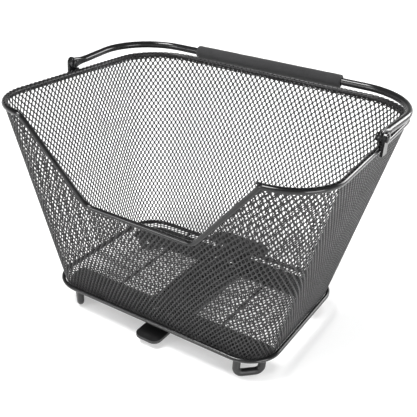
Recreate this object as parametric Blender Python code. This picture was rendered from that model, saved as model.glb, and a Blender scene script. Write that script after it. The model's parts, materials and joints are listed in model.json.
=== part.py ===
"""Clip-on carrier basket: a flared basket of expanded-metal mesh on a tubular rim
and a base ring, with a hinged carrying handle, four loop feet, and a rack adapter
with a front hook and a sprung release lever.

Working frame in the constants: millimetres, X along the long side, -Y towards the
side with the cut-out, Z up from the middle of the base ring's rod. row() moves it to
the part's own frame: origin below the middle of the basket, at the feet's underside.
"""
import math

import bmesh
import bpy
import numpy as np
from mathutils import Matrix, Vector

MM = 0.001
Y_SHIFT = -11.96           # puts the origin under the middle of the bounding box
Z_SHIFT = 37.6             # feet's underside at z = 0

# base ring
RING_X, RING_Y, RING_R = 162.3, 113.5, 42.9   # half length, half width, corner radius
RING_ROD = 5.5
# rim
RIM_NEAR_X, RIM_FAR_X = 217.6, 210.6          # half lengths of the two long sides
RIM_NEAR_Y, RIM_FAR_Y = -158.4, 181.8
RIM_NEAR_R, RIM_FAR_R = 62.6, 74.2
RIM_NEAR_Z, RIM_FAR_Z = 250.7, 248.7
RIM_TUBE = 6.4
# cut-out in the near wall
CUT_BOTTOM_X, CUT_BOTTOM_Z, CUT_TOP_X = 72.9, 148.6, 154.0
CUT_RIGHT = 2.6, 4.0                          # how much further its right side reaches, at the bottom and the top
CUT_ROUNDING = 6.0                            # smoothing length of its four bends
# mesh skins
WALL_X, WALL_Y, WALL_R = 157.9, 109.0, 38.5   # wall mesh's lower outline
WALL_T, WALL_Z0 = 1.6, -0.2
FLOOR_T, FLOOR_Z0 = 1.4, -0.2
# floor rods and strips
ROD_D, ROD_Z = 4.4, -2.8
ROD_XS = (-80.0, -23.7, 0.0, 23.7, 80.0)
STRIP_X, STRIP_Y0, STRIP_Y1, STRIP_R = 152.0, 59.0, 106.5, 33.0
STRIP_TOP, STRIP_BOTTOM = -5.4, -8.0
# feet
FOOT_X, FOOT_Y, FOOT_Z, FOOT_D, FOOT_HALF = 133.9, 87.4, -32.8, 9.6, 16.2
# handle
PIVOT_Y, PIVOT_Z = 7.5, 264.0
HANDLE_TILT = math.radians(1.8)
HANDLE_END_X, HANDLE_REAR_X = 214.7, 223.6
HANDLE_LENGTH, HANDLE_R, HANDLE_TUBE = 148.9, 76.0, 9.5
EYE_T, EYE_R = 5.0, 7.0
GRIP_HALF, GRIP_D = 109.0, 17.0
RIVET_R = 3.0
# brackets
TAB_X0, TAB_X1 = 218.5, 221.5
# rack adapter
BODY_X, BODY_Y0, BODY_Y1 = 32.0, -92.0, 84.0
BODY_TOP, BODY_BOTTOM = -8.3, -17.0
HOOK_X, HOOK_FRONT, HOOK_TOP, HOOK_BOTTOM = 18.0, -119.0, -24.2, -28.2
PIN_Y, PIN_Z, PIN_R = 98.0, -13.7, 2.5
JAW_TOP, JAW_BOTTOM = -29.0, -32.4           # the latch jaw's lip, which closes under a carrier's rear tube
LEVER_X, PADDLE_X, PADDLE_Y0, PADDLE_Y1 = 23.4, 45.0, 117.4, 145.0

for o in list(bpy.data.objects):
    bpy.data.objects.remove(o, do_unlink=True)


def row(p):
    return Vector((p[0], p[1] + Y_SHIFT, p[2] + Z_SHIFT)) * MM


def material(name, rgb, rough, metal=0.0):
    m = bpy.data.materials.new(name)
    m.use_nodes = True
    b = m.node_tree.nodes["Principled BSDF"]
    b.inputs["Base Color"].default_value = (*rgb, 1.0)
    b.inputs["Roughness"].default_value = rough
    b.inputs["Metallic"].default_value = metal
    m.diffuse_color = (*rgb, 1.0)
    return m


COAT = ((0.022, 0.022, 0.024), 0.42)
MESH = ((0.020, 0.019, 0.022), 0.5)
PLASTIC = ((0.018, 0.018, 0.019), 0.5)
FOAM = ((0.045, 0.045, 0.047), 0.9)
STEEL = ((0.55, 0.55, 0.56), 0.35, 1.0)


def finish(name, bm, look, origin=(0, 0, 0), smooth=40.0):
    """A closed mesh in working millimetres becomes an object with its origin at origin."""
    bmesh.ops.recalc_face_normals(bm, faces=bm.faces)
    if bm.calc_volume(signed=True) < 0:
        bmesh.ops.reverse_faces(bm, faces=bm.faces)
    o0 = row(origin)
    for v in bm.verts:
        v.co = row(v.co) - o0
    me = bpy.data.meshes.new(name)
    bm.to_mesh(me)
    bm.free()
    ob = bpy.data.objects.new(name, me)
    ob.location = o0
    bpy.context.scene.collection.objects.link(ob)
    me.materials.append(material(name, *look))
    me.shade_smooth()
    me.set_sharp_from_angle(angle=math.radians(smooth))
    return ob


def ring_faces(bm, a, b):
    n = len(a)
    for i in range(n):
        bm.faces.new((a[i], a[(i + 1) % n], b[(i + 1) % n], b[i]))


def unit(v):
    return v / np.linalg.norm(v)


def sweep(bm, path, ref, closed=False, sides=10, radius=1.0, sizes=None):
    """A rod along path. ref is never parallel to the path; sizes gives (across, along ref) radii."""
    path = [np.array(p, float) for p in path]
    n = len(path)
    rings = []
    for i, p in enumerate(path):
        a = path[(i - 1) % n] if (closed or i > 0) else p
        b = path[(i + 1) % n] if (closed or i < n - 1) else p
        t = unit(b - a)
        side = unit(np.cross(t, ref))
        up = unit(np.cross(side, t))
        ra, rb = sizes[i] if sizes else (radius, radius)
        rings.append([bm.verts.new(p + side * ra * math.cos(2 * math.pi * k / sides)
                                   + up * rb * math.sin(2 * math.pi * k / sides)) for k in range(sides)])
    for i in range(n if closed else n - 1):
        ring_faces(bm, rings[i], rings[(i + 1) % n])
    if not closed:
        bm.faces.new(rings[0])
        bm.faces.new(rings[-1])
    return rings


def corner_outline(near_x, far_x, near_y, far_y, near_r, far_r, steps=10):
    """Plan outline with rounded corners, counter-clockwise: near right, far right, far left, near left."""
    cs = [(np.array([near_x, near_y]), near_r), (np.array([far_x, far_y]), far_r),
          (np.array([-far_x, far_y]), far_r), (np.array([-near_x, near_y]), near_r)]
    arcs = []
    for i, (c, r) in enumerate(cs):
        u = unit(cs[i - 1][0] - c)
        v = unit(cs[(i + 1) % 4][0] - c)
        half = math.acos(float(u @ v)) / 2
        s, e = c + u * r / math.tan(half), c + v * r / math.tan(half)
        o = c + unit(u + v) * r / math.sin(half)
        a0 = math.atan2(*(s - o)[::-1])
        d = (math.atan2(*(e - o)[::-1]) - a0 + math.pi) % (2 * math.pi) - math.pi
        arcs.append([o + r * np.array([math.cos(a0 + d * k / steps), math.sin(a0 + d * k / steps)])
                     for k in range(steps + 1)])
    return arcs


def rim_z(y):
    return RIM_FAR_Z + (RIM_NEAR_Z - RIM_FAR_Z) * (RIM_FAR_Y - y) / (RIM_FAR_Y - RIM_NEAR_Y)


RIM_ARCS = corner_outline(RIM_NEAR_X, RIM_FAR_X, RIM_NEAR_Y, RIM_FAR_Y, RIM_NEAR_R, RIM_FAR_R)
WALL_ARCS = corner_outline(WALL_X, WALL_X, -WALL_Y, WALL_Y, WALL_R, WALL_R)


def near_wall_y(z):
    return -WALL_Y + (RIM_NEAR_Y + WALL_Y) * (z - WALL_Z0) / (RIM_NEAR_Z - WALL_Z0)


def even(path, step, closed=True):
    path = [np.array(p, float) for p in path]
    if closed:
        path.append(path[0])
    seg = [np.linalg.norm(b - a) for a, b in zip(path, path[1:])]
    total = sum(seg)
    n = max(4, round(total / step))
    out, k, run = [], 0, 0.0
    for i in range(n if closed else n + 1):
        s = total * i / n
        while k < len(seg) - 1 and run + seg[k] < s:
            run += seg[k]
            k += 1
        t = min(1.0, (s - run) / max(seg[k], 1e-9))
        out.append(path[k] * (1 - t) + path[k + 1] * t)
    return np.array(out)


def soften(path, length, step):
    """Gaussian smoothing of a closed, evenly spaced path, which rounds its bends."""
    reach = int(3 * length / step)
    w = np.exp(-0.5 * (np.arange(-reach, reach + 1) * step / length) ** 2)
    w /= w.sum()
    n = len(path)
    out = np.zeros_like(path)
    for j, k in enumerate(range(-reach, reach + 1)):
        out += w[j] * path[(np.arange(n) + k) % n]
    return out


def thin(path, angle=7.0, longest=70.0):
    """Drops points of a closed path where it hardly turns."""
    n = len(path)
    keep, turned, run = [0], 0.0, 0.0
    for i in range(1, n):
        a, b, c = path[i - 1], path[i], path[(i + 1) % n]
        turned += math.degrees(math.acos(min(1.0, float(unit(b - a) @ unit(c - b)))))
        run += np.linalg.norm(b - a)
        if turned >= angle or run >= longest:
            keep.append(i)
            turned, run = 0.0, 0.0
    return path[keep]


def rim_path():
    pts = []
    for arc in RIM_ARCS:
        pts += [np.array([p[0], p[1], rim_z(p[1])]) for p in arc]
    zb, xb, xt = CUT_BOTTOM_Z, CUT_BOTTOM_X, CUT_TOP_X
    zt = RIM_NEAR_Z
    for x, z in ((-xt, zt), (-xb, zb), (xb + CUT_RIGHT[0], zb), (xt + CUT_RIGHT[1], zt)):
        pts.append(np.array([x, near_wall_y(z), z]))
    return soften(even(pts, 2.0), CUT_ROUNDING, 2.0)


RIM_FINE = rim_path()
RIM = thin(RIM_FINE)


def block(bm, x0, x1, y0, y1, z0, z1):
    v = [bm.verts.new((x, y, z)) for x in (x0, x1) for y in (y0, y1) for z in (z0, z1)]
    for f in ((0, 1, 3, 2), (4, 6, 7, 5), (0, 4, 5, 1), (2, 3, 7, 6), (0, 2, 6, 4), (1, 5, 7, 3)):
        bm.faces.new([v[i] for i in f])


def prism(bm, outline, lo, hi, axis):
    """outline is 2-D, extruded along axis 0 (outline is y, z), 1 (x, z) or 2 (x, y)."""
    def at(p, h):
        q = list(p)
        q.insert(axis, h)
        return q
    a = [bm.verts.new(at(p, lo)) for p in outline]
    b = [bm.verts.new(at(p, hi)) for p in outline]
    ring_faces(bm, a, b)
    bm.faces.new(a)
    bm.faces.new(b)


def disc(cx, cy, r, n=24, phase=0.0):
    return [(cx + r * math.cos(2 * math.pi * k / n + phase), cy + r * math.sin(2 * math.pi * k / n + phase))
            for k in range(n)]


def lathe_x(bm, profile, y, z, sides=20):
    """profile is [(x, r)] from one pole to the other; turned about a line along X."""
    rings = []
    for x, r in profile:
        if r == 0:
            rings.append([bm.verts.new((x, y, z))])
        else:
            rings.append([bm.verts.new((x, a, b)) for a, b in disc(y, z, r, sides)])
    for a, b in zip(rings, rings[1:]):
        n = max(len(a), len(b))
        for i in range(n):
            if len(a) == 1:
                bm.faces.new((a[0], b[(i + 1) % n], b[i]))
            elif len(b) == 1:
                bm.faces.new((a[i], a[(i + 1) % n], b[0]))
            else:
                bm.faces.new((a[i], a[(i + 1) % n], b[(i + 1) % n], b[i]))
    for end in (rings[0], rings[-1]):
        if len(end) > 1:
            bm.faces.new(end)


def cutter(name, build):
    bm = bmesh.new()
    build(bm)
    ob = finish(name, bm, PLASTIC)
    ob.hide_render = True
    ob.display_type = "WIRE"
    return ob


def boolean(ob, other, operation="DIFFERENCE"):
    m = ob.modifiers.new(other.name, "BOOLEAN")
    m.operation = operation
    m.solver = "EXACT"
    m.object = other


# ---------------------------------------------------------------- rim frame and base ring
bm = bmesh.new()
sweep(bm, RIM, np.array([0, 0, 1.0]), closed=True, sides=10, radius=RIM_TUBE / 2)
finish("rim_frame", bm, COAT)

bm = bmesh.new()
ring = [np.array([p[0], p[1], 0.0]) for arc in corner_outline(RING_X, RING_X, -RING_Y, RING_Y, RING_R, RING_R, 9) for p in arc]
sweep(bm, ring, np.array([0, 0, 1.0]), closed=True, sides=10, radius=RING_ROD / 2)
finish("base_ring", bm, COAT)


# ---------------------------------------------------------------- wall mesh
def wall_stations():
    """(lower point, rim point) round the basket; they share the corner angle."""
    pairs = []
    for i in range(4):
        for a, b in zip(WALL_ARCS[i], RIM_ARCS[i]):
            pairs.append((a, b))
        a0, b0 = WALL_ARCS[i][-1], RIM_ARCS[i][-1]
        a1, b1 = WALL_ARCS[(i + 1) % 4][0], RIM_ARCS[(i + 1) % 4][0]
        n = 62 if i == 3 else 6
        for k in range(1, n):
            t = k / n
            pairs.append((a0 * (1 - t) + a1 * t, b0 * (1 - t) + b1 * t))
    return [(np.array([a[0], a[1], WALL_Z0]), np.array([b[0], b[1], rim_z(b[1])])) for a, b in pairs]


def wall_top(a, b, clear):
    """The share of the line a-b at which it comes within clear of the rim's tube."""
    s = np.linspace(0.3, 1.0, 700)
    pts = a + (b - a) * s[:, None]
    gap = np.sqrt(((pts[:, None, :] - RIM_FINE[None, :, :]) ** 2).sum(2)).min(1)
    return s[int(np.argmax(gap < clear))]


def wall(bm):
    st = wall_stations()
    tops = [wall_top(a, b, RIM_TUBE / 2 + WALL_T / 2 + 0.7) for a, b in st]
    n, rows = len(st), (0.0, 0.34, 0.67, 1.0)
    grid = np.array([[a + (b - a) * t * r for r in rows] for (a, b), t in zip(st, tops)])
    out = np.zeros_like(grid)
    for i in range(n):
        for j in range(len(rows)):
            along = grid[(i + 1) % n, j] - grid[i - 1, j]
            up = st[i][1] - st[i][0]
            out[i, j] = unit(np.cross(along, up))
            if j == 0:                       # the lower edge stays level
                out[i, j, 2] = 0
                out[i, j] = unit(out[i, j])
    if out[0, 0] @ np.array([1, 0, 0]) < 0:
        out = -out
    skins = []
    for sign in (1, -1):
        skins.append([[bm.verts.new(grid[i, j] + sign * WALL_T / 2 * out[i, j]) for j in range(len(rows))] for i in range(n)])
    for i in range(n):
        k = (i + 1) % n
        for j in range(len(rows) - 1):
            for s in skins:
                bm.faces.new((s[i][j], s[k][j], s[k][j + 1], s[i][j + 1]))
        for j in (0, len(rows) - 1):
            bm.faces.new((skins[0][i][j], skins[0][k][j], skins[1][k][j], skins[1][i][j]))


bm = bmesh.new()
wall(bm)
finish("wall_mesh", bm, MESH)

# ---------------------------------------------------------------- floor
bm = bmesh.new()
inset = WALL_T / 2 + 0.6
floor = [p for arc in corner_outline(WALL_X - inset, WALL_X - inset, -WALL_Y + inset, WALL_Y - inset, WALL_R - inset, WALL_R - inset, 8) for p in arc]
prism(bm, floor, FLOOR_Z0, FLOOR_Z0 + FLOOR_T, 2)
finish("floor_mesh", bm, MESH)

for k, x in enumerate(ROD_XS):
    bm = bmesh.new()
    sweep(bm, [(x, -110.2, ROD_Z), (x, 110.2, ROD_Z)], np.array([0, 0, 1.0]), sides=10, radius=ROD_D / 2)
    finish("floor_rod_%d" % (k + 1), bm, COAT)


def strip_outline(sign):
    """A strip with large outer corners: the corner towards the ring is rounded, the inner one nearly square."""
    x, y0, y1, r, q = STRIP_X, STRIP_Y0, STRIP_Y1, STRIP_R, 3.0
    pts = []
    for sx in (1, -1):
        a, b = [], []
        for k in range(9):
            t = math.pi / 2 * k / 8
            a.append((sx * (x - r + r * math.cos(t)), y1 - r + r * math.sin(t)))
        for k in range(4):
            t = math.pi / 2 * k / 3
            b.append((sx * (x - q + q * math.sin(t)), y0 + q - q * math.cos(t)))
        side = b + a
        pts += side if sx > 0 else side[::-1]
    return [(p[0], sign * p[1]) for p in pts]


SCREW_XY = [(sx * 12.0, sy * 80.0) for sx in (1, -1) for sy in (1, -1)]
screw_holes = cutter("cut_screws", lambda bm: [prism(bm, disc(x, y, 2.4, 16), -15.0, 2.0, 2) for x, y in SCREW_XY])
for name, sign in (("front_floor_strip", -1), ("rear_floor_strip", 1)):
    bm = bmesh.new()
    prism(bm, strip_outline(sign), STRIP_BOTTOM, STRIP_TOP, 2)
    ob = finish(name, bm, PLASTIC)
    boolean(ob, screw_holes)

# ---------------------------------------------------------------- feet
for name, sx, sy in (("foot_front_right", 1, -1), ("foot_rear_right", 1, 1), ("foot_rear_left", -1, 1), ("foot_front_left", -1, -1)):
    d = unit(np.array([sx * 1.0, -sy * 1.0, 0]))      # along the foot's crossbar, across the corner
    c = np.array([sx * FOOT_X, sy * FOOT_Y, FOOT_Z])
    r, top = 8.0, STRIP_BOTTOM - 0.3
    half = FOOT_HALF
    prof = [(-half, top), (-half, FOOT_Z + r)]
    prof += [(-half + r - r * math.cos(t), FOOT_Z + r - r * math.sin(t)) for t in (math.pi / 2 * k / 5 for k in range(1, 6))]
    prof += [(half - r + r * math.sin(t), FOOT_Z + r - r * math.cos(t)) for t in (math.pi / 2 * k / 5 for k in range(0, 5))]
    prof += [(half, FOOT_Z + r), (half, top)]
    ref = np.cross(d, np.array([0, 0, 1.0]))
    bm = bmesh.new()
    sweep(bm, [np.array([c[0], c[1], 0]) + d * u + np.array([0, 0, z]) for u, z in prof], ref, sides=12, radius=FOOT_D / 2)
    # a flat tread where the foot stands
    for v in bm.verts:
        if v.co.z < FOOT_Z - FOOT_D / 2 * 0.80:
            v.co.z = FOOT_Z - FOOT_D / 2
    finish(name, bm, PLASTIC)

# ---------------------------------------------------------------- handle
AXIS = np.array([0, math.cos(HANDLE_TILT), math.sin(HANDLE_TILT)])   # from the pivots to the grip, at rest
NORMAL = np.array([0, -math.sin(HANDLE_TILT), math.cos(HANDLE_TILT)])
PIVOT = np.array([0, PIVOT_Y, PIVOT_Z])


def handle_half():
    """Plan of the right half, (x, distance from the pivot line), from the eye to the middle."""
    e, c, m = np.array([HANDLE_END_X, 26.0]), np.array([HANDLE_REAR_X, HANDLE_LENGTH]), np.array([0, HANDLE_LENGTH])
    u, v = unit(e - c), unit(m - c)
    half = math.acos(float(u @ v)) / 2
    s, o = c + u * HANDLE_R / math.tan(half), c + unit(u + v) * HANDLE_R / math.sin(half)
    a0 = math.atan2(*(s - o)[::-1])
    a1 = math.pi / 2
    arc = [o + HANDLE_R * np.array([math.cos(a0 + (a1 - a0) * k / 10), math.sin(a0 + (a1 - a0) * k / 10)]) for k in range(11)]
    return [np.array([HANDLE_END_X, t]) for t in (-EYE_R, -EYE_R * 0.7, 0.0, EYE_R * 0.8, 15.0, 21.0, 26.0)] + arc


def handle_points():
    right = handle_half()
    plan = right + [np.array([-p[0], p[1]]) for p in reversed(right)]
    return [np.array([p[0], 0, 0]) + PIVOT + AXIS * p[1] for p in plan]


half_r = HANDLE_TUBE / 2
eye = [(EYE_T / 2, EYE_R * 0.35), (EYE_T / 2, EYE_R * 0.75), (EYE_T / 2, EYE_R), (EYE_T / 2, EYE_R * 0.9),
       (EYE_T / 2 + 0.2, half_r * 1.15), (half_r * 0.85, half_r * 1.05), (half_r, half_r)]
mid = [(half_r, half_r)] * 22
bm = bmesh.new()
sweep(bm, handle_points(), NORMAL, sides=12, sizes=eye + mid + eye[::-1])
handle = finish("handle_tube", bm, COAT, origin=PIVOT)
eye_hole = cutter("cut_eyes", lambda bm: [prism(bm, disc(PIVOT_Y, PIVOT_Z, RIVET_R + 0.35, 20), *sorted((s * 205.0, s * 218.2)), 0) for s in (1, -1)])
boolean(handle, eye_hole)

bm = bmesh.new()
a = PIVOT + AXIS * HANDLE_LENGTH
outer, inner = GRIP_D / 2, half_r + 0.3
ends = []
for x, r in ((-GRIP_HALF, inner), (-GRIP_HALF, outer - 0.8), (-GRIP_HALF + 0.8, outer), (GRIP_HALF - 0.8, outer), (GRIP_HALF, outer - 0.8), (GRIP_HALF, inner)):
    ends.append([bm.verts.new((x, a[1] + r * math.cos(2 * math.pi * k / 16), a[2] + r * math.sin(2 * math.pi * k / 16))) for k in range(16)])
for i in range(6):
    ring_faces(bm, ends[i], ends[(i + 1) % 6])
finish("handle_grip", bm, FOAM, origin=PIVOT)

# ---------------------------------------------------------------- brackets, washers, rivets
rim_there = rim_z(PIVOT_Y)
for side, s in (("right", 1), ("left", -1)):
    def ordered(a, b):
        return sorted((s * a, s * b))
    # tab: a plate beside the rim with a round top
    r = 6.4
    tab = [(PIVOT_Y - 6.8, rim_there - 5.0), (PIVOT_Y + 6.8, rim_there - 5.0)]
    tab += [(PIVOT_Y + r * math.cos(t), PIVOT_Z + 0.5 + r * math.sin(t)) for t in (math.pi * k / 10 for k in range(11))]
    bm = bmesh.new()
    prism(bm, tab, *ordered(TAB_X0, TAB_X1), 0)
    ob = finish("handle_bracket_" + side, bm, COAT)
    # stop lug under the handle's eye, bent inwards from the tab
    stop = cutter("add_stop_" + side, lambda bm: block(bm, *ordered(211.9, TAB_X0 + 0.6), PIVOT_Y + 2.8, PIVOT_Y + 6.2, rim_there + 4.2, PIVOT_Z - EYE_R - 0.45))
    boolean(ob, stop, "UNION")
    hole = cutter("cut_tab_" + side, lambda bm: prism(bm, disc(PIVOT_Y, PIVOT_Z, RIVET_R + 0.3, 20), *ordered(TAB_X0 - 2, TAB_X1 + 2), 0))
    boolean(ob, hole)
    # washer between eye and tab
    bm = bmesh.new()
    o1, o2 = disc(PIVOT_Y, PIVOT_Z, 6.0, 20), disc(PIVOT_Y, PIVOT_Z, RIVET_R + 0.3, 20)
    x0, x1 = s * (HANDLE_END_X + EYE_T / 2 + 0.3), s * (TAB_X0 - 0.3)
    vs = [[bm.verts.new((x, p[0], p[1])) for p in o] for x, o in ((x0, o1), (x1, o1), (x1, o2), (x0, o2))]
    for i in range(4):
        ring_faces(bm, vs[i], vs[(i + 1) % 4])
    finish("pivot_washer_" + side, bm, PLASTIC)
    # rivet: domed head inside, shank, peened end outside
    h = HANDLE_END_X - EYE_T / 2 - 0.4
    prof = [(h - 3.0, 0), (h - 3.0, 4.0), (h - 2.4, 4.9), (h, 4.9), (h, RIVET_R), (TAB_X1 + 0.4, RIVET_R),
            (TAB_X1 + 0.4, 5.0), (TAB_X1 + 1.4, 4.6), (TAB_X1 + 2.4, 2.8), (TAB_X1 + 2.7, 0)]
    bm = bmesh.new()
    lathe_x(bm, [(s * x, rr) for x, rr in prof], PIVOT_Y, PIVOT_Z, 20)
    finish("pivot_rivet_" + side, bm, COAT)

# ---------------------------------------------------------------- rack adapter
EAR_X0, EAR_X1, EAR_Y1 = 24.0, 32.0, 107.0
bm = bmesh.new()
cx, rr0 = BODY_X, 5.0
plate = []
for qx, qy, a0 in ((cx - rr0, BODY_Y1 - rr0, 0), (-cx + rr0, BODY_Y1 - rr0, 90), (-cx + rr0, BODY_Y0 + rr0, 180), (cx - rr0, BODY_Y0 + rr0, 270)):
    for k in range(4):
        t = math.radians(a0 + 30 * k)
        plate.append((qx + rr0 * math.cos(t), qy + rr0 * math.sin(t)))
prism(bm, plate, BODY_BOTTOM, BODY_TOP, 2)
body = finish("adapter_body", bm, PLASTIC)
for k, s in enumerate((1, -1)):
    ear_outline = [(BODY_Y1 - 8, BODY_TOP), (BODY_Y1 - 8, -18.2), (EAR_Y1 - 4, -18.2), (EAR_Y1, -14.5), (EAR_Y1, BODY_TOP)]
    ear = cutter("add_ear_%d" % (k + 1), lambda bm: prism(bm, ear_outline, *sorted((s * EAR_X0, s * EAR_X1)), 0))
    boolean(body, ear, "UNION")
pin_hole = cutter("cut_pin", lambda bm: prism(bm, disc(PIN_Y, PIN_Z, PIN_R + 0.3, 20), -40, 40, 0))
boolean(body, pin_hole)
boolean(body, screw_holes)

# front hook: an upright fixed under the body and a tongue that reaches forward
bm = bmesh.new()
hook_side = [(-78.0, BODY_BOTTOM - 0.3), (-86.0, BODY_BOTTOM - 0.3), (-88.0, HOOK_TOP), (-100.0, HOOK_TOP), (-100.0, HOOK_BOTTOM), (-78.0, HOOK_BOTTOM)]
prism(bm, hook_side, -HOOK_X, HOOK_X, 0)
hook = finish("front_hook", bm, PLASTIC)
r = 10.0
tongue = [(HOOK_X, -99.0), (-HOOK_X, -99.0)]
tongue += [(-HOOK_X + r - r * math.cos(t), HOOK_FRONT + r - r * math.sin(t)) for t in (math.pi / 2 * k / 6 for k in range(7))]
tongue += [(HOOK_X - r + r * math.sin(t), HOOK_FRONT + r - r * math.cos(t)) for t in (math.pi / 2 * k / 6 for k in range(7))]
tip = cutter("add_tongue", lambda bm: prism(bm, tongue, HOOK_BOTTOM, HOOK_TOP, 2))
boolean(hook, tip, "UNION")

# release lever: hub round the pin, arm under the ring, paddle behind it, latch jaw below
hub_r = 5.0


def hub_profile():
    pts = [(PIN_Y + hub_r * math.cos(t), PIN_Z + hub_r * math.sin(t)) for t in (math.radians(90 + 15 * k) for k in range(7))]
    pts += [(PIN_Y - hub_r, JAW_BOTTOM + 1.5), (PIN_Y - hub_r + 1.5, JAW_BOTTOM), (PIN_Y + 8.4, JAW_BOTTOM), (PIN_Y + 9.4, JAW_TOP - 0.6), (PIN_Y + 0.6, JAW_TOP), (PIN_Y + 0.6, PIN_Z - hub_r + 0.1)]
    pts += [(PIN_Y + hub_r * math.cos(t), PIN_Z + hub_r * math.sin(t)) for t in (math.radians(-45 + 15 * k) for k in range(6))]
    pts += [(PIN_Y + 8.0, -12.9), (PIN_Y + 8.0, -9.0)]
    return pts


bm = bmesh.new()
arm = [(PIN_Y + 7.4, -9.0), (PIN_Y + 7.4, -12.9), (PADDLE_Y0 + 4, -12.9), (PADDLE_Y0 + 8.0, -3.6), (PADDLE_Y0 + 8.0, 1.0), (PADDLE_Y0, 1.0), (PADDLE_Y0 - 0.9, -4.2), (PADDLE_Y0 - 3.0, -9.0)]
prism(bm, arm, -LEVER_X, LEVER_X, 0)
lever = finish("release_lever", bm, PLASTIC, origin=(0, PIN_Y, PIN_Z))
for k, s in enumerate((1, -1)):
    hub = cutter("add_hub_%d" % (k + 1), lambda bm: prism(bm, hub_profile(), *sorted((s * 9.2, s * (LEVER_X - 0.02))), 0))
    boolean(lever, hub, "UNION")
paddle = [(-PADDLE_X, PADDLE_Y0), (PADDLE_X, PADDLE_Y0), (PADDLE_X, PADDLE_Y1 - 10), (PADDLE_X - 12, PADDLE_Y1), (-PADDLE_X + 12, PADDLE_Y1), (-PADDLE_X, PADDLE_Y1 - 10)]
pad = cutter("add_paddle", lambda bm: prism(bm, paddle, -3.2, 2.0, 2))
boolean(lever, pad, "UNION")
boolean(lever, pin_hole)

bm = bmesh.new()
lathe_x(bm, [(-34.6, 2.0), (-34.0, PIN_R), (34.0, PIN_R), (34.6, 2.0)], PIN_Y, PIN_Z, 16)
finish("lever_pin", bm, STEEL)

# torsion spring between the two halves of the hub
turns, wire = 6.0, 0.5
coil = []
steps = 14
for k in range(int(turns * steps) + 1):
    t = 2 * math.pi * k / steps
    coil.append((-6.6 + 13.2 * k / (turns * steps), PIN_Y + 3.8 * math.cos(t + math.pi / 2), PIN_Z + 3.8 * math.sin(t + math.pi / 2)))
bm = bmesh.new()
sweep(bm, coil, np.array([1.0, 0, 0]), sides=6, radius=wire)
finish("lever_spring", bm, STEEL)

# screws through the strips into the adapter body
for k, (x, y) in enumerate(SCREW_XY):
    bm = bmesh.new()
    rings = []
    for r, z in ((1.9, -14.0), (1.9, -5.1), (4.0, -5.1), (4.0, -4.0), (3.0, -3.2)):
        rings.append([bm.verts.new((p[0], p[1], z)) for p in disc(x, y, r, 14)])
    for p, q in zip(rings, rings[1:]):
        ring_faces(bm, p, q)
    bm.faces.new(rings[0])
    bm.faces.new(rings[-1])
    finish("adapter_screw_%d" % (k + 1), bm, STEEL)
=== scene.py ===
"""Looks for the clip-on carrier basket: the expanded-metal lattice, smooth tubes, feet and
fittings built round the fixed CAD frame, with procedural materials, a plain floor and soft light.

Working millimetres as in the part: X along the long side, -Y the side with the cut-out,
z = 0 at the middle of the base ring's rod. row() gives metres in the row frame.
"""

import json
import math

import bmesh
import bpy
import numpy as np
from mathutils import Matrix, Vector


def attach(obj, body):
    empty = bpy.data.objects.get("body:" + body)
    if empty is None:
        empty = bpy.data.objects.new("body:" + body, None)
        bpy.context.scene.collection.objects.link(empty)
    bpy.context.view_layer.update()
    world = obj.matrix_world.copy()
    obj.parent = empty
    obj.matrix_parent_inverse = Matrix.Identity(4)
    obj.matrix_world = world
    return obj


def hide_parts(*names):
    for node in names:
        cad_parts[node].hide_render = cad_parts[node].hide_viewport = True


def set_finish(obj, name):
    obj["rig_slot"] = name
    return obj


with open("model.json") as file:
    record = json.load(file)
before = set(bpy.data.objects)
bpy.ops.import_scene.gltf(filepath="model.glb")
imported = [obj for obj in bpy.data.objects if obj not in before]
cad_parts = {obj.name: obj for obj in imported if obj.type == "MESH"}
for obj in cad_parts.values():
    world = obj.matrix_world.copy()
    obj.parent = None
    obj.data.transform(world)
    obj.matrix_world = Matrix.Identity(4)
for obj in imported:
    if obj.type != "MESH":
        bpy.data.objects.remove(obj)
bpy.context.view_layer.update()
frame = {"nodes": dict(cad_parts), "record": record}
nodes = frame["nodes"]

Y_SHIFT, Z_SHIFT = -11.96, 37.6
SHIFT = np.array([0.0, Y_SHIFT, Z_SHIFT])

RING_X, RING_Y, RING_R, RING_ROD = 162.3, 113.5, 42.9, 5.5
RIM_NEAR_X, RIM_FAR_X = 217.6, 210.6
RIM_NEAR_Y, RIM_FAR_Y = -158.4, 181.8
RIM_NEAR_R, RIM_FAR_R = 62.6, 74.2
RIM_NEAR_Z, RIM_FAR_Z = 250.7, 248.7
RIM_TUBE = 6.4
CUT_BOTTOM_X, CUT_BOTTOM_Z, CUT_TOP_X, CUT_ROUNDING, CUT_RIGHT = 72.9, 148.6, 154.0, 6.0, (2.6, 4.0)
WALL_X, WALL_Y, WALL_R, WALL_Z0 = 158.8, 109.9, 39.4, -0.2     # 0.9 mm outside the CAD sheet's middle, against the ring
STRIP_BOTTOM = -8.0
FOOT_X, FOOT_Y, FOOT_Z, FOOT_D, FOOT_HALF = 133.9, 87.4, -32.8, 9.6, 16.2
PIVOT_Y, PIVOT_Z = 7.5, 264.0
HANDLE_TILT = math.radians(1.8)
HANDLE_END_X, HANDLE_REAR_X, HANDLE_LENGTH, HANDLE_R, HANDLE_TUBE = 214.7, 223.6, 148.9, 76.0, 9.5
EYE_T, EYE_R = 5.0, 7.0
GRIP_HALF, GRIP_D = 109.0, 17.0
RIVET_R = 3.0
TAB_X0, TAB_X1 = 218.5, 221.5
PIN_Y, PIN_Z = 98.0, -13.7
PADDLE_X, PADDLE_Y0, PADDLE_Y1 = 45.0, 117.4, 145.0
UP = np.array([0.0, 0.0, 1.0])


# ---------------------------------------------------------------- materials
def nodes_of(name):
    m = bpy.data.materials.new(name)
    m.use_nodes = True
    t = m.node_tree
    return m, t, t.nodes["Principled BSDF"]


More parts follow.
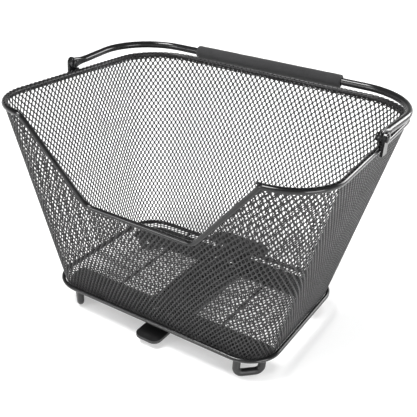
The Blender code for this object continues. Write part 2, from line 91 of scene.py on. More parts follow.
def noise(t, scale, detail=3.0, rough=0.55, vector=None):
    n = t.nodes.new("ShaderNodeTexNoise")
    n.inputs["Scale"].default_value = scale
    n.inputs["Detail"].default_value = detail
    n.inputs["Roughness"].default_value = rough
    t.links.new(vector or coords(t), n.inputs["Vector"])
    return n.outputs["Fac"]


def coords(t):
    for n in t.nodes:
        if n.bl_idname == "ShaderNodeTexCoord":
            return n.outputs["Object"]
    return t.nodes.new("ShaderNodeTexCoord").outputs["Object"]


def ramp(t, fac, lo, hi, a=0.3, b=0.7):
    r = t.nodes.new("ShaderNodeValToRGB")
    r.color_ramp.elements[0].position, r.color_ramp.elements[1].position = a, b
    r.color_ramp.elements[0].color, r.color_ramp.elements[1].color = (*lo, 1), (*hi, 1)
    t.links.new(fac, r.inputs["Fac"])
    return r.outputs["Color"]


def span(t, fac, lo, hi):
    r = t.nodes.new("ShaderNodeMapRange")
    r.inputs["From Min"].default_value, r.inputs["From Max"].default_value = 0.3, 0.7
    r.inputs["To Min"].default_value, r.inputs["To Max"].default_value = lo, hi
    t.links.new(fac, r.inputs["Value"])
    return r.outputs["Result"]


def bump(t, shader, fac, strength, distance):
    b = t.nodes.new("ShaderNodeBump")
    b.inputs["Strength"].default_value = strength
    b.inputs["Distance"].default_value = distance
    t.links.new(fac, b.inputs["Height"])
    t.links.new(b.outputs["Normal"], shader.inputs["Normal"])


def powder_coat(name, dark, light, rough, coat, grain=1100.0, depth=0.00006, strength=0.25, sheen=0.0, level=0.5):
    """Sprayed powder coat: orange peel, faint patches of tone and gloss, lighter rubbed spots."""
    m, t, s = nodes_of(name)
    patch = noise(t, 38.0, 4.0)
    t.links.new(ramp(t, patch, dark, light), s.inputs["Base Color"])
    t.links.new(span(t, noise(t, 160.0, 3.0), rough[0], rough[1]), s.inputs["Roughness"])
    s.inputs["Coat Weight"].default_value = coat
    s.inputs["Coat Roughness"].default_value = 0.22
    s.inputs["Specular IOR Level"].default_value = level
    s.inputs["Sheen Weight"].default_value = sheen
    s.inputs["Sheen Roughness"].default_value = 0.45
    bump(t, s, noise(t, grain, 2.0), strength, depth)
    return m


def moulded(name, dark, light, rough, grain=2600.0):
    """Moulded plastic: fine spark-eroded grain, slight flow marks in gloss."""
    m, t, s = nodes_of(name)
    t.links.new(ramp(t, noise(t, 55.0, 3.0), dark, light), s.inputs["Base Color"])
    t.links.new(span(t, noise(t, 240.0, 3.0), rough[0], rough[1]), s.inputs["Roughness"])
    v = t.nodes.new("ShaderNodeTexVoronoi")
    v.inputs["Scale"].default_value = grain
    t.links.new(coords(t), v.inputs["Vector"])
    bump(t, s, v.outputs["Distance"], 0.22, 0.00008)
    return m


def foam(name):
    """Closed-cell foam sleeve: matte, fine open pores, patches a little lighter where it is rubbed."""
    m, t, s = nodes_of(name)
    t.links.new(ramp(t, noise(t, 26.0, 5.0), (0.013, 0.013, 0.0137), (0.022, 0.022, 0.023)), s.inputs["Base Color"])
    t.links.new(span(t, noise(t, 300.0, 3.0), 0.78, 0.95), s.inputs["Roughness"])
    s.inputs["Sheen Weight"].default_value = 0.10
    s.inputs["Sheen Roughness"].default_value = 0.6
    s.inputs["Specular IOR Level"].default_value = 0.25
    v = t.nodes.new("ShaderNodeTexVoronoi")
    v.inputs["Scale"].default_value = 1500.0
    t.links.new(coords(t), v.inputs["Vector"])
    bump(t, s, v.outputs["Distance"], 0.5, 0.0002)
    return m


def plated(name):
    m, t, s = nodes_of(name)
    t.links.new(ramp(t, noise(t, 300.0, 3.0), (0.46, 0.46, 0.47), (0.62, 0.62, 0.61)), s.inputs["Base Color"])
    t.links.new(span(t, noise(t, 900.0, 2.0), 0.24, 0.4), s.inputs["Roughness"])
    s.inputs["Metallic"].default_value = 1.0
    bump(t, s, noise(t, 2400.0, 2.0), 0.15, 0.00004)
    return m


TUBE = powder_coat("tube_coat", (0.006, 0.006, 0.0062), (0.011, 0.011, 0.0115), (0.12, 0.22), 0.0, level=0.36)
MESH = powder_coat("mesh_coat", (0.010, 0.0098, 0.0104), (0.020, 0.0195, 0.0206), (0.32, 0.46), 0.0, 1500.0, sheen=0.03, level=0.30)
PLASTIC = moulded("black_plastic", (0.006, 0.006, 0.0063), (0.011, 0.011, 0.0115), (0.36, 0.5))
FOAM = foam("grip_foam")
STEEL = plated("plated_steel")


# ---------------------------------------------------------------- making pieces
def piece(name, verts, faces, mat, body, slot, stands_for=(), smooth=40.0):
    """verts in working mm."""
    me = bpy.data.meshes.new(name)
    me.from_pydata(((np.asarray(verts) + SHIFT) * 0.001).tolist(), [], [list(map(int, f)) for f in faces])
    me.validate()
    me.shade_smooth()
    me.set_sharp_from_angle(angle=math.radians(smooth))
    me.materials.append(mat)
    ob = bpy.data.objects.new(name, me)
    bpy.context.scene.collection.objects.link(ob)
    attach(ob, body)
    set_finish(ob, slot)
    if stands_for:
        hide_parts(*stands_for)
    return ob


class Shape:
    """Collects several closed forms into one piece."""

    def __init__(self):
        self.v, self.f = [], []

    def add(self, verts, faces):
        n = len(self.v)
        self.v += [list(map(float, p)) for p in verts]
        self.f += [[i + n for i in f] for f in faces]

    def tube(self, path, ref, radius=1.0, sides=20, closed=False, sizes=None, dome=True):
        path = np.array(path, float)
        n = len(path)
        rings = []
        for i in range(n):
            a = path[(i - 1) % n] if (closed or i) else path[0]
            b = path[(i + 1) % n] if (closed or i < n - 1) else path[-1]
            t = unit(b - a)
            side = unit(np.cross(t, ref))
            up = unit(np.cross(side, t))
            ra, rb = sizes[i] if sizes is not None else (radius, radius)
            rings.append([path[i] + side * ra * math.cos(2 * math.pi * k / sides) + up * rb * math.sin(2 * math.pi * k / sides) for k in range(sides)])
        verts = [p for r in rings for p in r]
        faces = []
        for i in range(n if closed else n - 1):
            a, b = i * sides, ((i + 1) % n) * sides
            faces += [(a + k, a + (k + 1) % sides, b + (k + 1) % sides, b + k) for k in range(sides)]
        if not closed:
            faces += [list(range(sides))[::-1], list(range((n - 1) * sides, n * sides))]
        self.add(verts, faces)

    def lathe(self, profile, origin, axis, sides=36):
        """profile is [(along, radius)]; turned about axis through origin."""
        axis = unit(np.array(axis, float))
        side = unit(np.cross(axis, UP if abs(axis[2]) < 0.9 else np.array([1.0, 0, 0])))
        up = np.cross(side, axis)
        origin = np.array(origin, float)
        verts, rows = [], []
        for h, r in profile:
            if r < 1e-6:
                rows.append([len(verts)])
                verts.append(origin + axis * h)
            else:
                rows.append(list(range(len(verts), len(verts) + sides)))
                verts += [origin + axis * h + r * (side * math.cos(2 * math.pi * k / sides) + up * math.sin(2 * math.pi * k / sides)) for k in range(sides)]
        faces = []
        for a, b in zip(rows, rows[1:]):
            for k in range(sides):
                q = [a[k % len(a)], a[(k + 1) % len(a)], b[(k + 1) % len(b)], b[k % len(b)]]
                q = [x for j, x in enumerate(q) if x not in q[:j]]
                if len(q) > 2:
                    faces.append(q)
        self.add(verts, faces)


def unit(v):
    return v / np.linalg.norm(v)


def tidy(ob):
    bm = bmesh.new()
    bm.from_mesh(ob.data)
    bmesh.ops.recalc_face_normals(bm, faces=bm.faces)
    bm.to_mesh(ob.data)
    bm.free()
    return ob


def smooth01(t):
    t = np.clip(t, 0, 1)
    return t * t * (3 - 2 * t)


# ---------------------------------------------------------------- the basket's surfaces
def corner_outline(near_x, far_x, near_y, far_y, near_r, far_r, steps=10):
    cs = [(np.array([near_x, near_y]), near_r), (np.array([far_x, far_y]), far_r),
          (np.array([-far_x, far_y]), far_r), (np.array([-near_x, near_y]), near_r)]
    arcs = []
    for i, (c, r) in enumerate(cs):
        u, v = unit(cs[i - 1][0] - c), unit(cs[(i + 1) % 4][0] - c)
        half = math.acos(float(u @ v)) / 2
        s, e = c + u * r / math.tan(half), c + v * r / math.tan(half)
        o = c + unit(u + v) * r / math.sin(half)
        a0 = math.atan2(*(s - o)[::-1])
        d = (math.atan2(*(e - o)[::-1]) - a0 + math.pi) % (2 * math.pi) - math.pi
        arcs.append([o + r * np.array([math.cos(a0 + d * k / steps), math.sin(a0 + d * k / steps)]) for k in range(steps + 1)])
    return arcs


def rim_z(y):
    return RIM_FAR_Z + (RIM_NEAR_Z - RIM_FAR_Z) * (RIM_FAR_Y - y) / (RIM_FAR_Y - RIM_NEAR_Y)


def near_wall_y(z):
    return -WALL_Y + (RIM_NEAR_Y + WALL_Y) * (z - WALL_Z0) / (RIM_NEAR_Z - WALL_Z0)


STEPS = 32
RIM_ARCS = corner_outline(RIM_NEAR_X, RIM_FAR_X, RIM_NEAR_Y, RIM_FAR_Y, RIM_NEAR_R, RIM_FAR_R, STEPS)
WALL_ARCS = corner_outline(WALL_X, WALL_X, -WALL_Y, WALL_Y, WALL_R, WALL_R, STEPS)


def even(path, step):
    path = [np.array(p, float) for p in path]
    path.append(path[0])
    path = np.array(path)
    seg = np.linalg.norm(np.diff(path, axis=0), axis=1)
    run = np.concatenate([[0], np.cumsum(seg)])
    n = round(run[-1] / step)
    s = np.arange(n) * run[-1] / n
    return np.stack([np.interp(s, run, path[:, k]) for k in range(3)], 1)


def soften(path, length, step):
    reach = int(3 * length / step)
    w = np.exp(-0.5 * (np.arange(-reach, reach + 1) * step / length) ** 2)
    w /= w.sum()
    n = len(path)
    out = np.zeros_like(path)
    for j, k in enumerate(range(-reach, reach + 1)):
        out += w[j] * path[(np.arange(n) + k) % n]
    return out


def thin(path, angle, longest):
    n = len(path)
    keep, turned, run = [0], 0.0, 0.0
    for i in range(1, n):
        a, b, c = path[i - 1], path[i], path[(i + 1) % n]
        turned += math.degrees(math.acos(min(1.0, float(unit(b - a) @ unit(c - b)))))
        run += np.linalg.norm(b - a)
        if turned >= angle or run >= longest:
            keep.append(i)
            turned, run = 0.0, 0.0
    return path[keep]


rim_pts = []
for arc in RIM_ARCS:
    rim_pts += [np.array([p[0], p[1], rim_z(p[1])]) for p in arc]
for cx, cz in ((-CUT_TOP_X, RIM_NEAR_Z), (-CUT_BOTTOM_X, CUT_BOTTOM_Z), (CUT_BOTTOM_X + CUT_RIGHT[0], CUT_BOTTOM_Z), (CUT_TOP_X + CUT_RIGHT[1], RIM_NEAR_Z)):
    rim_pts.append(np.array([cx, near_wall_y(cz), cz]))
RIM_FINE = soften(even(rim_pts, 2.0), CUT_ROUNDING, 2.0)

# stations round the basket: lower point, rim point, share of the line at which the rim's centre is met
low, high, near = [], [], []
for i in range(4):
    for a, b in zip(WALL_ARCS[i], RIM_ARCS[i]):
        low.append(a), high.append(b), near.append(False)
    a0, b0 = WALL_ARCS[i][-1], RIM_ARCS[i][-1]
    a1, b1 = WALL_ARCS[(i + 1) % 4][0], RIM_ARCS[(i + 1) % 4][0]
    n = 150 if i == 3 else 40
    for k in range(1, n):
        low.append(a0 + (a1 - a0) * k / n), high.append(b0 + (b1 - b0) * k / n), near.append(i == 3)
LOW = np.array([[p[0], p[1], WALL_Z0 + 0.7] for p in low])
HIGH = np.array([[p[0], p[1], rim_z(p[1])] for p in high])
TOP = np.ones(len(LOW))
shares = np.linspace(0.4, 1.0, 420)
front_rim = RIM_FINE[RIM_FINE[:, 1] < -95]
for i in np.nonzero(near)[0]:
    line = LOW[i] + (HIGH[i] - LOW[i]) * shares[:, None]
    gap = np.sqrt(((line[:, None] - front_rim[None]) ** 2).sum(2)).min(1)
    hit = np.nonzero(gap < 4.0)[0]
    if len(hit):
        win = slice(hit[0], min(hit[0] + 30, len(gap)))
        TOP[i] = shares[hit[0] + int(np.argmin(gap[win]))]
MIDDLE = (LOW + HIGH) / 2
W = np.concatenate([[0], np.cumsum(np.linalg.norm(np.diff(np.vstack([MIDDLE, MIDDLE[:1]]), axis=0), axis=1))])
ROUND = W[-1]
LOWP, HIGHP, TOPP = np.vstack([LOW, LOW[:1]]), np.vstack([HIGH, HIGH[:1]]), np.append(TOP, TOP[0])
tangent = np.roll(MIDDLE, -1, 0) - np.roll(MIDDLE, 1, 0)
OUT = np.cross(tangent, UP)
OUT /= np.linalg.norm(OUT, axis=1)[:, None]
OUTP = np.vstack([OUT, OUT[:1]])

# rows of the lattice bow: level at the middle of each side, falling towards the corners
LEAN = (0.18, 0.25, 0.18, 0.16)        # right, far, left, near
marks, slopes = [], []
idx = 0
for i, n in enumerate((40, 40, 40, 150)):
    nxt, prv = LEAN[i], LEAN[i - 1]
    w0, w1 = W[idx], W[idx + STEPS]
    w2 = W[idx + STEPS + n] if idx + STEPS + n < len(W) else ROUND
    marks += [w0, (w0 + w1) / 2, w1, (w1 + w2) / 2]
    slopes += [-prv, 0.0, nxt, 0.0]
    idx += STEPS + n
marks.append(ROUND), slopes.append(slopes[0])
fine_w = np.linspace(0, ROUND, 4000)
slope = np.interp(fine_w, marks, slopes)
bow = np.concatenate([[0], np.cumsum((slope[1:] + slope[:-1]) / 2 * np.diff(fine_w))])
bow -= bow[-1] * fine_w / ROUND
bow -= bow.max()

FOLD, FOLD_V, RISE = 1.2, 1.9, 258.0

# columns of the lattice fan out evenly: every row has the same number of cells, spread over its own length
LEVELS = 40
len_low, len_high = (np.concatenate([[0], np.cumsum(np.linalg.norm(np.diff(q, axis=0), axis=1))]) for q in (LOWP, HIGHP))
far_mid = STEPS + 40 + STEPS + 20
FAN = []
for level in np.linspace(0, 1, LEVELS + 1):
    run = len_low * (1 - level) + len_high * level
    share = (run - run[far_mid]) / run[-1]
    share = np.concatenate([share[:-1] - 1, share, share[1:] + 1])
    where = np.concatenate([W[:-1] - ROUND, W, W[1:] + ROUND])
    FAN.append(np.interp((fine_w - W[far_mid]) / ROUND, share, where))
FAN = np.array(FAN)


def fan(w, s):
    """Station met at height share s by the column that crosses half height at w."""
    x, y = w / ROUND * (len(fine_w) - 1), np.clip(s, 0, 1) * LEVELS
    i, j = np.clip(x.astype(int), 0, len(fine_w) - 2), np.clip(y.astype(int), 0, LEVELS - 1)
    x, y = x - i, y - j
    return (FAN[j, i] * (1 - x) + FAN[j, i + 1] * x) * (1 - y) + (FAN[j + 1, i] * (1 - x) + FAN[j + 1, i + 1] * x) * y


def at(table, w):
    return np.stack([np.interp(w, W, table[:, k]) for k in range(3)], -1)


def wall_point(w, v, clamp=True):
    """Point of the mesh's middle surface; w round the basket, v up its profile from the floor's edge."""
    w = np.mod(w, ROUND)
    v = v + np.interp(w, fine_w, bow)
    s = FOLD / RISE + (v - FOLD_V) / RISE
    w = np.mod(fan(w, s), ROUND)
    a, b, t, out = at(LOWP, w), at(HIGHP, w), np.interp(w, W, TOPP), at(OUTP, w)
    out /= np.linalg.norm(out, axis=-1)[..., None]
    over = s > t
    under = v < 0
    if clamp:
        s = np.minimum(s, t)
        v = np.maximum(v, 0)
    p0, p1 = a - out * FOLD, a + (b - a) * FOLD / RISE
    q = np.clip(v / FOLD_V, None, 1)[..., None]
    curve = p0 * (1 - q) ** 2 + a * 2 * q * (1 - q) + p1 * q ** 2
    straight = a + (b - a) * s[..., None]
    return np.where((v < FOLD_V)[..., None], curve, straight), over | under


def floor_point(x, y):
    """Keeps a point inside the floor's edge."""
    hx, hy, r = WALL_X - FOLD, WALL_Y - FOLD, WALL_R - FOLD
    qx, qy = np.abs(x) - (hx - r), np.abs(y) - (hy - r)
    d = np.hypot(np.maximum(qx, 0), np.maximum(qy, 0)) + np.minimum(np.maximum(qx, qy), 0) - r
    over = d > 0
    nx, ny = np.maximum(qx, 0), np.maximum(qy, 0)
    ln = np.maximum(np.hypot(nx, ny), 1e-9)
    x2 = np.where(over, x - np.sign(x) * nx / ln * d, x)
    y2 = np.where(over, y - np.sign(y) * ny / ln * d, y)
    return np.stack([x2, y2, np.full_like(x2, WALL_Z0 + 0.7)], -1), over


RING8 = [(2, 0), (1, 1), (0, 2), (-1, 1), (-2, 0), (-1, -1), (0, -2), (1, -1)]


def lattice(name, cells, P, Q, hole, point, mat, slot, stands_for=(), thick=(0.6, 0.3), normal=None, period=None, skip=None, tilt=0.0):
    """Expanded metal: one rhombic cell round each hole. cells are (i, j), i + j even, in half pitches.
    thick gives the half thickness on the strands' middle lines and at the holes' edges."""
    cells = np.array(cells)
    keys = np.array([(2 * cells[:, 0] + dx, 2 * cells[:, 1] + dy) for dx, dy in RING8]).transpose(2, 0, 1)   # n, 8, 2
    flat = keys.reshape(-1, 2)
    if period:
        flat = np.stack([np.mod(flat[:, 0], period), flat[:, 1]], 1)
    uniq, inv = np.unique(flat, axis=0, return_inverse=True)
    inv = inv.reshape(len(cells), 8)
    bu, bv = uniq[:, 0] * P / 4, uniq[:, 1] * Q / 4
    strand, tip = hole                     # width of a strand; how far the hole's corners are rounded off
    inset = 1 - strand / 2 / (P * Q / 4 / math.hypot(P / 2, Q / 2))
    ku = np.array([tip, 0.5, 0, -0.5, -tip, -0.5, 0, 0.5]) * P / 2 * inset
    kv = np.array([0, 0.5, tip, 0.5, 0, -0.5, -tip, -0.5]) * Q / 2 * inset
    hu = (cells[:, 0] * P / 2)[:, None] + ku
    hv = (cells[:, 1] * Q / 2)[:, None] + kv
    hu, hv = hu.ravel(), hv.ravel()

    def place(u, v, half, shift=0.0):
        p, out = point(u, v)
        e = 0.5
        if normal is None:
            du = point(u + e, v, False)[0] - point(u - e, v, False)[0]
            dv = point(u, v + e, False)[0] - point(u, v - e, False)[0]
            n = np.cross(du, dv)
            n /= np.maximum(np.linalg.norm(n, axis=1), 1e-9)[:, None]
        else:
            n = np.tile(normal, (len(p), 1))
        return p + n * (half + shift), p - n * (half - shift), out

    bf, bb, bout = place(bu, bv, thick[0])
    # each strand is tilted: out of the sheet at the hole's lower edge, into it at the upper edge
    hf, hb, _ = place(hu, hv, thick[1], -tilt * (kv.ravel() if kv.ndim > 1 else np.tile(kv, len(cells)))[:, None] / (Q / 2))
    gone = bout[inv].all(1)
    if skip is not None:
        gone |= skip(cells)
    keep = np.nonzero(~gone)[0]
    nb, nh = len(bf), len(hf)
    verts = np.vstack([bf, bb, hf, hb])
    B = inv[keep]
    H = keep[:, None] * 8 + np.arange(8) + 2 * nb
    B2, H2 = np.roll(B, -1, 1), np.roll(H, -1, 1)
    faces = np.concatenate([
        np.stack([B, B2, H2, H], -1).reshape(-1, 4),
        np.stack([B2 + nb, B + nb, H + nh, H2 + nh], -1).reshape(-1, 4),
        np.stack([H, H2, H2 + nh, H + nh], -1).reshape(-1, 4)])
    used, new = np.unique(faces, return_inverse=True)
    ob = piece(name, verts[used], new.reshape(-1, 4), mat, "basket", slot, stands_for, smooth=75.0)
    return ob


PITCH_V = 9.9
COLS = round(ROUND / 6.5)
PITCH_U = ROUND / COLS
rows = int(300 / (PITCH_V / 2))
quarter = 2 * COLS // 4
start = int(W[STEPS + 20] / (PITCH_U / 2)) - quarter // 2
spans = [("right", 0), ("far", 1), ("left", 2), ("near", 3)]
centre_w = {}
idx = 0
for i, n in enumerate((40, 40, 40, 150)):
    centre_w[i] = (W[idx + STEPS], W[min(idx + STEPS + n, len(W) - 1)])
    idx += STEPS + n
limits = []
idx = 0
for i, n in enumerate((40, 40, 40, 150)):
    limits.append(int(round(W[idx + STEPS // 2] / (PITCH_U / 2))))
    idx += STEPS + n
for i, side in enumerate(("right", "far", "left", "near")):
    c0, c1 = limits[i], limits[(i + 1) % 4] + (2 * COLS if i == 3 else 0)
    cells = [(c, r) for c in range(c0, c1) for r in range(0, rows) if (c + r) % 2 == 0]
    lattice("mesh_wall_" + side, cells, PITCH_U, PITCH_V, (1.08, 0.77), wall_point, MESH, "mesh_coat",
            ("wall_mesh",) if side == "far" else (), period=4 * COLS, tilt=0.32)
cells = [(c, r) for c in range(-52, 53) for r in range(-24, 25) if (c + r) % 2 == 0]
FLOOR_P, FLOOR_Q = 6.4, 9.6
lattice("mesh_floor", cells, FLOOR_P, FLOOR_Q, (1.25, 0.84), lambda x, y, clamp=True: floor_point(x, y), MESH, "mesh_coat",
        ("floor_mesh",), normal=UP, thick=(0.55, 0.3))


# hem: the sheet's upper edge turned over the rim, down its inner side and back to the wall
def hem_point(w, q, clamp=True):
    w = np.mod(w, ROUND)
    a, b, out = at(LOWP, w), at(HIGHP, w), at(OUTP, w)
    out /= np.linalg.norm(out, axis=-1)[..., None]
    r = RIM_TUBE / 2 + 0.55
    th = np.radians(72.0) - q / r
    end = math.radians(-42.0)
    turn = (math.radians(72.0) - end) * r
    th = np.maximum(th, end)
    p = b + r * (-out * np.cos(th)[..., None] + UP * np.sin(th)[..., None])
    d = (a - b) / np.linalg.norm(a - b, axis=-1)[..., None]
    side = np.cross(d, np.cross(UP, out))
    inner = -out - d * ((-out * d).sum(-1))[..., None]
    inner /= np.linalg.norm(inner, axis=-1)[..., None]
    reach = 0.4 + 1.6 * smooth01((b[..., 1] - 10.0) / 90.0)
    foot = b + d * (3.7 + reach)[..., None] + inner * 1.2
    t = np.clip((q - turn) / 5.0, 0, 1)[..., None]
    p = p * (1 - t) + foot * t
    return p, np.zeros(len(w), bool)


hem_end = (-WALL_X, )
near0, near1 = W[3 * (STEPS + 40) + STEPS], ROUND
hem_rows = 7
hem_cells = [(c, r) for c in range(0, 2 * COLS) for r in range(0, hem_rows + 1) if (c + r) % 2 == 0 and not near0 - 4 < c * PITCH_U / 2 < near1 + 1]
lattice("mesh_hem", hem_cells, PITCH_U, 4.7, (2.0, 0.75), hem_point, MESH, "mesh_coat", thick=(0.3, 0.22), period=4 * COLS)

# the sheet's lower edge, left plain where it is welded to the ring
s = Shape()
edge = [np.array([p[0], p[1], 1.2]) for arc in corner_outline(WALL_X - 0.1, WALL_X - 0.1, -WALL_Y + 0.1, WALL_Y - 0.1, WALL_R - 0.1, WALL_R - 0.1, 28) for p in arc]
s.tube(edge, UP, closed=True, sides=12, sizes=[(0.5, 1.9)] * len(edge))
tidy(piece("mesh_lower_edge", s.v, s.f, MESH, "basket", "mesh_coat"))

# ---------------------------------------------------------------- rim and base ring
s = Shape()
s.tube(thin(RIM_FINE, 2.2, 14.0), UP, RIM_TUBE / 2, 20, closed=True)
tidy(piece("rim_tube", s.v, s.f, TUBE, "basket", "black_coat", ("rim_frame",)))
s = Shape()
ring = [np.array([p[0], p[1], 0.0]) for arc in corner_outline(RING_X, RING_X, -RING_Y, RING_Y, RING_R, RING_R, 28) for p in arc]
s.tube(ring, UP, RING_ROD / 2, 20, closed=True)
tidy(piece("base_ring_rod", s.v, s.f, TUBE, "basket", "black_coat", ("base_ring",)))

# ---------------------------------------------------------------- feet
for name, sx, sy in (("front_right", 1, -1), ("rear_right", 1, 1), ("rear_left", -1, 1), ("front_left", -1, -1)):
    d = unit(np.array([sx * 1.0, -sy * 1.0, 0]))
    c = np.array([sx * FOOT_X, sy * FOOT_Y, 0.0])
    r, top, half = 8.0, STRIP_BOTTOM, FOOT_HALF
    prof = [(-half, top), (-half, top - 3), (-half, top - 9), (-half, FOOT_Z + r)]
    prof += [(-half + r - r * math.cos(t), FOOT_Z + r - r * math.sin(t)) for t in (math.pi / 2 * k / 12 for k in range(1, 13))]
    prof += [(-half + r + (2 * half - 2 * r) * k / 4, FOOT_Z) for k in range(1, 4)]
    prof += [(half - r + r * math.sin(t), FOOT_Z + r - r * math.cos(t)) for t in (math.pi / 2 * k / 12 for k in range(0, 12))]
    prof += [(half, FOOT_Z + r), (half, top - 9), (half, top - 3), (half, top)]
    s = Shape()
    s.tube([c + d * u + np.array([0, 0, z]) for u, z in prof], np.cross(d, UP), FOOT_D / 2, 28)
    v = np.array(s.v)
    v[:, 2] = np.where(v[:, 2] < FOOT_Z - FOOT_D / 2 * 0.955, FOOT_Z - FOOT_D / 2, v[:, 2])
    s.v = v.tolist()
    for e in (-1, 1):
        s.lathe([(0, 0), (0, 7.0), (1.4, 7.0), (2.2, 6.4), (2.6, 5.4), (2.6, 0)], c + d * e * half + np.array([0, 0, top - 0.1]), -UP, 32)
    tidy(piece("foot_loop_" + name, s.v, s.f, PLASTIC, "basket", "black_plastic", ("foot_" + name,)))

# ---------------------------------------------------------------- handle
AXIS = np.array([0, math.cos(HANDLE_TILT), math.sin(HANDLE_TILT)])
NORMAL = np.array([0, -math.sin(HANDLE_TILT), math.cos(HANDLE_TILT)])
PIVOT = np.array([0, PIVOT_Y, PIVOT_Z])
half_r = HANDLE_TUBE / 2
e, c, m = np.array([HANDLE_END_X, 26.0]), np.array([HANDLE_REAR_X, HANDLE_LENGTH]), np.array([0, HANDLE_LENGTH])
u, v = unit(e - c), unit(m - c)
half = math.acos(float(u @ v)) / 2
s0, o = c + u * HANDLE_R / math.tan(half), c + unit(u + v) * HANDLE_R / math.sin(half)
a0 = math.atan2(*(s0 - o)[::-1])
arc = [o + HANDLE_R * np.array([math.cos(a0 + (math.pi / 2 - a0) * k / 30), math.sin(a0 + (math.pi / 2 - a0) * k / 30)]) for k in range(31)]
plan, sizes = [], []
for t in list(-EYE_R * np.cos(np.linspace(0.12, math.pi / 2, 9))) + list(np.linspace(1.2, 26.0, 20)):
    flat = float(smooth01((t - 7.0) / 15.0))
    h = math.sqrt(max(EYE_R ** 2 - t * t, 0.4)) if t < 0 else EYE_R + (half_r - EYE_R) * float(smooth01(t / 19.0))
    plan.append(np.array([HANDLE_END_X, t]))
    sizes.append((EYE_T / 2 + (half_r - EYE_T / 2) * flat, h))
first = np.linspace(0, 1, 6)[1:-1, None] * (arc[0] - e) + e
plan += list(first) + arc
sizes += [(half_r, half_r)] * (len(plan) - len(sizes))
plan += [np.array([arc[-1][0] * (1 - k / 6), HANDLE_LENGTH]) for k in range(1, 6)]
sizes += [(half_r, half_r)] * 5
full = plan + [np.array([0.0, HANDLE_LENGTH])] + [np.array([-p[0], p[1]]) for p in reversed(plan)]
fsizes = sizes + [(half_r, half_r)] + sizes[::-1]
s = Shape()
s.tube([np.array([p[0], 0, 0]) + PIVOT + AXIS * p[1] for p in full], NORMAL, sides=24, sizes=fsizes)
tidy(piece("handle_bow", s.v, s.f, TUBE, "handle", "black_coat", ("handle_tube",), 50))

s = Shape()
a = PIVOT + AXIS * HANDLE_LENGTH
R, ri = GRIP_D / 2, half_r + 0.1
prof = [(-GRIP_HALF, ri), (-GRIP_HALF, R - 1.6), (-GRIP_HALF + 0.25, R - 0.9), (-GRIP_HALF + 0.8, R - 0.35), (-GRIP_HALF + 1.8, R)]
prof += [(x, R + 0.06 * math.sin(x * 0.21) + 0.05 * math.sin(x * 0.083 + 1)) for x in np.linspace(-GRIP_HALF + 4, GRIP_HALF - 4, 60)]
prof += [(GRIP_HALF - 1.8, R), (GRIP_HALF - 0.8, R - 0.35), (GRIP_HALF - 0.25, R - 0.9), (GRIP_HALF, R - 1.6), (GRIP_HALF, ri)]
s.lathe(prof, a, (1, 0, 0), 40)
tidy(piece("grip_sleeve", s.v, s.f, FOAM, "handle", "grip_foam", ("handle_grip",)))

# ---------------------------------------------------------------- pivots
for side, sg in (("right", 1), ("left", -1)):
    h = HANDLE_END_X - EYE_T / 2 - 0.3
    prof = [(h - 3.0, 0), (h - 3.0, 3.2), (h - 2.9, 3.8), (h - 2.6, 4.4), (h - 2.2, 4.75), (h - 1.7, 4.9), (h - 0.3, 4.9)]
    prof += [(h, 4.75), (h, RIVET_R), (TAB_X1 + 0.4, RIVET_R), (TAB_X1 + 0.4, 5.0), (TAB_X1 + 1.0, 5.0)]
    prof += [(TAB_X1 + 1.0 + 1.7 * math.sin(t), 5.0 * math.cos(t)) for t in np.linspace(0.15, math.pi / 2 - 0.1, 7)] + [(TAB_X1 + 2.7, 0)]
    s = Shape()
    s.lathe([(x, r) for x, r in prof], (0, PIVOT_Y, PIVOT_Z), (1, 0, 0), 36)
    v = np.array(s.v)
    v[:, 0] *= sg
    tidy(piece("rivet_" + side, v, s.f, TUBE, "basket", "black_coat", ("pivot_rivet_" + side,)))
    x0, x1 = HANDLE_END_X + EYE_T / 2 + 0.25, TAB_X0 - 0.1
    s = Shape()
    s.lathe([(x0, RIVET_R), (x0, 5.6), (x0 + 0.3, 6.0), (x1 - 0.3, 6.0), (x1, 5.6), (x1, RIVET_R)], (0, PIVOT_Y, PIVOT_Z), (1, 0, 0), 36)
    v = np.array(s.v)
    v[:, 0] *= sg
    tidy(piece("washer_" + side, v, s.f, PLASTIC, "basket", "black_plastic", ("pivot_washer_" + side,)))
    # weld beads between the tab and the rim tube
    s = Shape()
    zc = rim_z(PIVOT_Y)
    bead = [np.array([sg * (TAB_X0 - 0.9), PIVOT_Y + t, zc + 2.6 + 0.25 * math.sin(t * 1.9)]) for t in np.linspace(-6.4, 6.4, 40)]
    s.tube(bead, UP, sides=12, sizes=[(1.5 * math.sqrt(max(1 - (t / 6.8) ** 2, 0.02)), 1.3 * math.sqrt(max(1 - (t / 6.8) ** 2, 0.02)) * (1 + 0.12 * math.sin(t * 3.8))) for t in np.linspace(-6.4, 6.4, 40)])
    tidy(piece("weld_" + side, s.v, s.f, TUBE, "basket", "black_coat", smooth=60))

# ---------------------------------------------------------------- lever ribs
s = Shape()
for k in range(6):
    y = PADDLE_Y0 + 8.5 + k * 2.9
    xh = PADDLE_X - 10 - (k > 3) * (k - 3) * 2.5
    s.tube([np.array([x, y, 2.0]) for x in np.linspace(-xh, xh, 21)], UP, sides=12, sizes=[(0.8 * min(1, (1.02 - abs(t)) * 12), 0.55 * min(1, (1.02 - abs(t)) * 12)) for t in np.linspace(-1, 1, 21)])
tidy(piece("lever_ribs", s.v, s.f, PLASTIC, "lever", "black_plastic"))

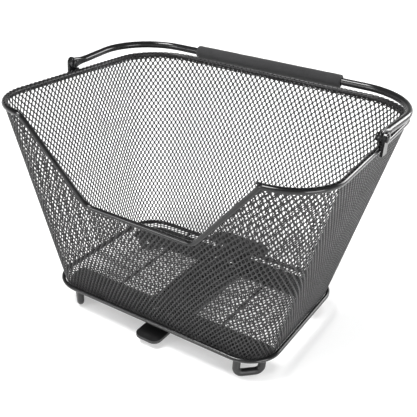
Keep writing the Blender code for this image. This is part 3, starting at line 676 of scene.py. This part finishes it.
# ---------------------------------------------------------------- carried-over CAD nodes
look = {"mesh_coat": MESH, "black_coat": TUBE, "black_plastic": PLASTIC, "grip_foam": FOAM, "plated_steel": STEEL}
slot_of = {p["node"]: p["material_slot"] for p in frame["record"]["subparts"]}
for n, ob in nodes.items():
    ob.data.materials.clear()
    ob.data.materials.append(look[slot_of[n]])
    ob["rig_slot"] = slot_of[n]
    ob.data.shade_smooth()
    if n in ("adapter_body", "front_hook", "release_lever", "front_floor_strip", "rear_floor_strip", "handle_bracket_right", "handle_bracket_left"):
        b = ob.modifiers.new("edge", "BEVEL")
        b.width, b.segments, b.limit_method, b.angle_limit = 0.0007, 3, "ANGLE", math.radians(38)
        b.harden_normals = False
        wn = ob.modifiers.new("normals", "WEIGHTED_NORMAL")
        wn.keep_sharp = False

# ---------------------------------------------------------------- floor, light, camera
m, t, sh = nodes_of("floor_paint")
t.links.new(ramp(t, noise(t, 3.0, 2.0), (0.66, 0.66, 0.66), (0.69, 0.69, 0.69)), sh.inputs["Base Color"])
sh.inputs["Emission Color"].default_value = (1, 1, 1, 1)
sh.inputs["Emission Strength"].default_value = 0.36
sh.inputs["Roughness"].default_value = 0.75
sh.inputs["Specular IOR Level"].default_value = 0.2
bm = bmesh.new()
bmesh.ops.create_grid(bm, x_segments=8, y_segments=8, size=15.0)
me = bpy.data.meshes.new("floor")
bm.to_mesh(me)
bm.free()
me.materials.append(m)
floor = bpy.data.objects.new("floor", me)
floor.location = (0, 0, -0.0004)
bpy.context.scene.collection.objects.link(floor)

world = bpy.data.worlds.new("studio")
world.use_nodes = True
wt = world.node_tree                       # pale walls low down, a dim ceiling
axis = wt.nodes.new("ShaderNodeSeparateXYZ")
wt.links.new(wt.nodes.new("ShaderNodeTexCoord").outputs["Generated"], axis.inputs["Vector"])
height = wt.nodes.new("ShaderNodeMapRange")
height.inputs["From Min"].default_value, height.inputs["From Max"].default_value = 0.12, 0.42
height.inputs["To Min"].default_value, height.inputs["To Max"].default_value = 0.95, 0.14
wt.links.new(axis.outputs["Z"], height.inputs["Value"])
wt.nodes["Background"].inputs["Color"].default_value = (1, 1, 1, 1)
wt.links.new(height.outputs["Result"], wt.nodes["Background"].inputs["Strength"])
bpy.context.scene.world = world


def softbox(name, place, target, size, power):
    data = bpy.data.lights.new(name, "AREA")
    data.shape, data.size, data.size_y, data.energy = "RECTANGLE", size[0], size[1], power
    ob = bpy.data.objects.new(name, data)
    ob.location = place
    ob.rotation_euler = (Vector(target) - Vector(place)).to_track_quat("-Z", "Y").to_euler()
    bpy.context.scene.collection.objects.link(ob)


data = bpy.data.lights.new("overhead", "SUN")
data.energy, data.angle = 4.0, math.radians(22)
sun = bpy.data.objects.new("overhead", data)
sun.rotation_euler = (Vector((0, 0, 0)) - Vector((-0.22, -0.34, 1.0))).to_track_quat("-Z", "Y").to_euler()
bpy.context.scene.collection.objects.link(sun)
softbox("front_high", (-0.5, -1.6, 1.9), (0, 0.1, 0.2), (1.6, 0.25), 9.0)
softbox("front_left_low", (-0.85, -1.75, 0.62), (0, 0.15, 0.15), (0.7, 0.5), 15.0)
softbox("right", (1.8, -0.5, 0.5), (0.15, 0, 0.15), (1.0, 0.7), 24.0)
softbox("back_right", (1.0, 1.6, 0.95), (0.1, 0, 0.2), (1.0, 0.6), 22.0)

right = np.array([0.8349, 0.5488, 0.0412])
up = np.array([-0.2889, 0.3734, 0.8815])
fwd = np.cross(up, right)
fwd = unit(fwd)
right = unit(np.cross(fwd, unit(up)))
up = np.cross(right, fwd)
cam = bpy.data.cameras.new("camera")
cam.sensor_width = 36.0
cam.lens = 702.475 / 417 * 36
cam.shift_x, cam.shift_y = (208.5 - 180.73) / 417, (217.89 - 208.5) / 417
cam.clip_start, cam.clip_end = 0.05, 50
co = bpy.data.objects.new("camera", cam)
pos = (np.array([412.4, -704.1, 532.2]) + SHIFT) * 0.001
co.matrix_world = Matrix(((right[0], up[0], -fwd[0], pos[0]), (right[1], up[1], -fwd[1], pos[1]), (right[2], up[2], -fwd[2], pos[2]), (0, 0, 0, 1)))
bpy.context.scene.collection.objects.link(co)
bpy.context.scene.camera = co
bpy.context.scene.view_settings.view_transform = "Standard"
